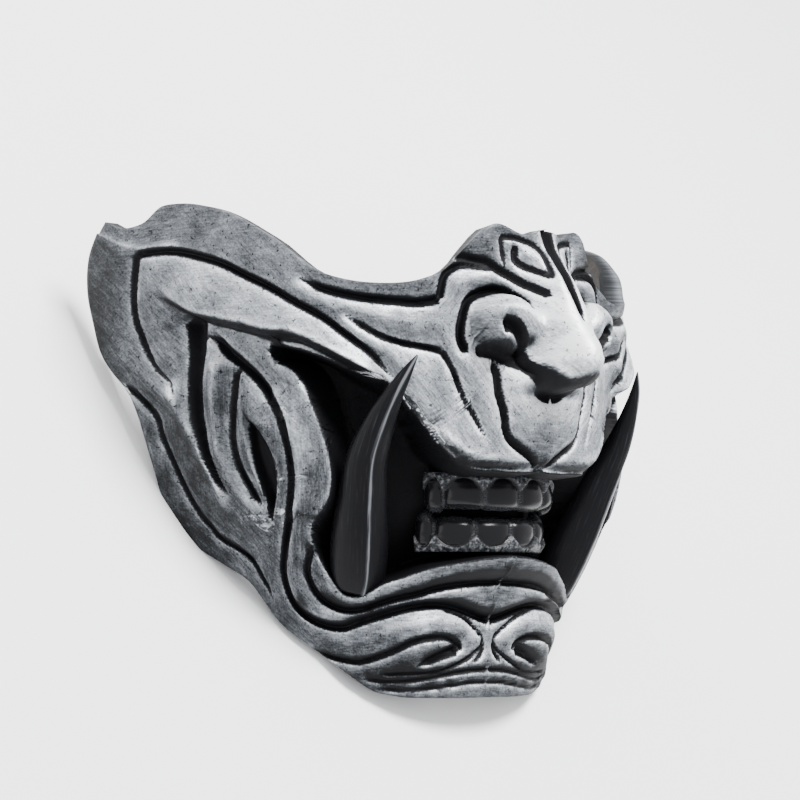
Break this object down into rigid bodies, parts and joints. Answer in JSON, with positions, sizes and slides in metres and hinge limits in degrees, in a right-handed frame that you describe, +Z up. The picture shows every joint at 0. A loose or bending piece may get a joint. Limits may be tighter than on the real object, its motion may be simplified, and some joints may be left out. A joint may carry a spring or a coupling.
{
  "type": "half mask",
  "caption": "Rigid carved half mask of a snarling demon face for the nose, mouth and jaw, with teeth and long tusks that curve up from the lower jaw.",
  "frame": {"origin": "centre of the outline seen from above, at the level of the surface the mask lies on", "axes": "+X across the face to the wearer's left, -Y past the chin, +Z up out of the face; the mask lies face up on its jaw rim"},
  "size_m": [0.1682, 0.166, 0.1175],
  "materials": {
    "silvered_black": "cast resin painted black and dry-brushed with silver",
    "black_enamel": "cast resin painted gloss black"
  },
  "bodies": {
    "root": {"face_shell": "silvered_black", "upper_teeth": "black_enamel", "lower_teeth": "black_enamel", "tusk_left": "black_enamel", "tusk_right": "black_enamel"}
  },
  "joints": []
}
